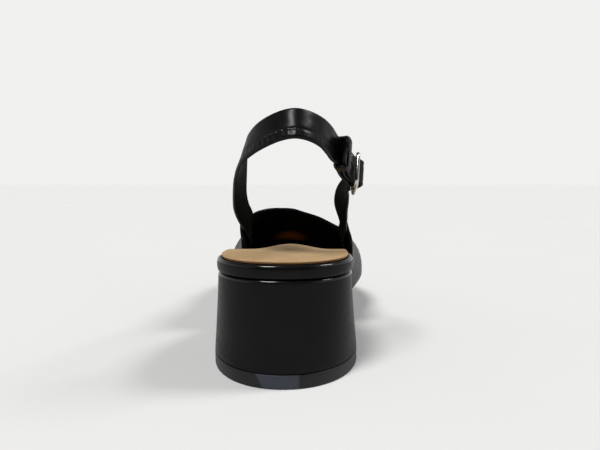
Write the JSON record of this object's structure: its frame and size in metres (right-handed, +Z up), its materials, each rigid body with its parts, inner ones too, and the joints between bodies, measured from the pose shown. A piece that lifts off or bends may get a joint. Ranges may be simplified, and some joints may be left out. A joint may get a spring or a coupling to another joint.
{
  "type": "slingback block heel shoe",
  "caption": "Right slingback court shoe with a closed toe, a strap round the heel that buckles on the outer side, and a leather-covered block heel.",
  "frame": {"origin": "floor under the middle of the heel", "axes": "+Y along the shoe towards the toe, +X towards the outer side of the right foot, +Z up from the floor"},
  "size_m": [0.091, 0.2571, 0.1129],
  "materials": {
    "top_rubber": "matt",
    "heel_cover": "smooth, semi-gloss",
    "sole": "matt",
    "rim_cover": "smooth, semi-gloss",
    "sock_leather": "matt",
    "upper_leather": "smooth, semi-gloss",
    "strap_leather": "smooth, semi-gloss",
    "buckle_metal": "polished nickel"
  },
  "bodies": {
    "root": {"heel_top_piece": "top_rubber", "heel_block": "heel_cover", "outsole": "sole", "insole_board": "rim_cover", "sock": "sock_leather", "upper": "upper_leather", "sling_strap": "strap_leather", "buckle_strap": "strap_leather", "keeper": "strap_leather", "buckle_frame": "buckle_metal", "buckle_prong": "buckle_metal"}
  },
  "joints": []
}
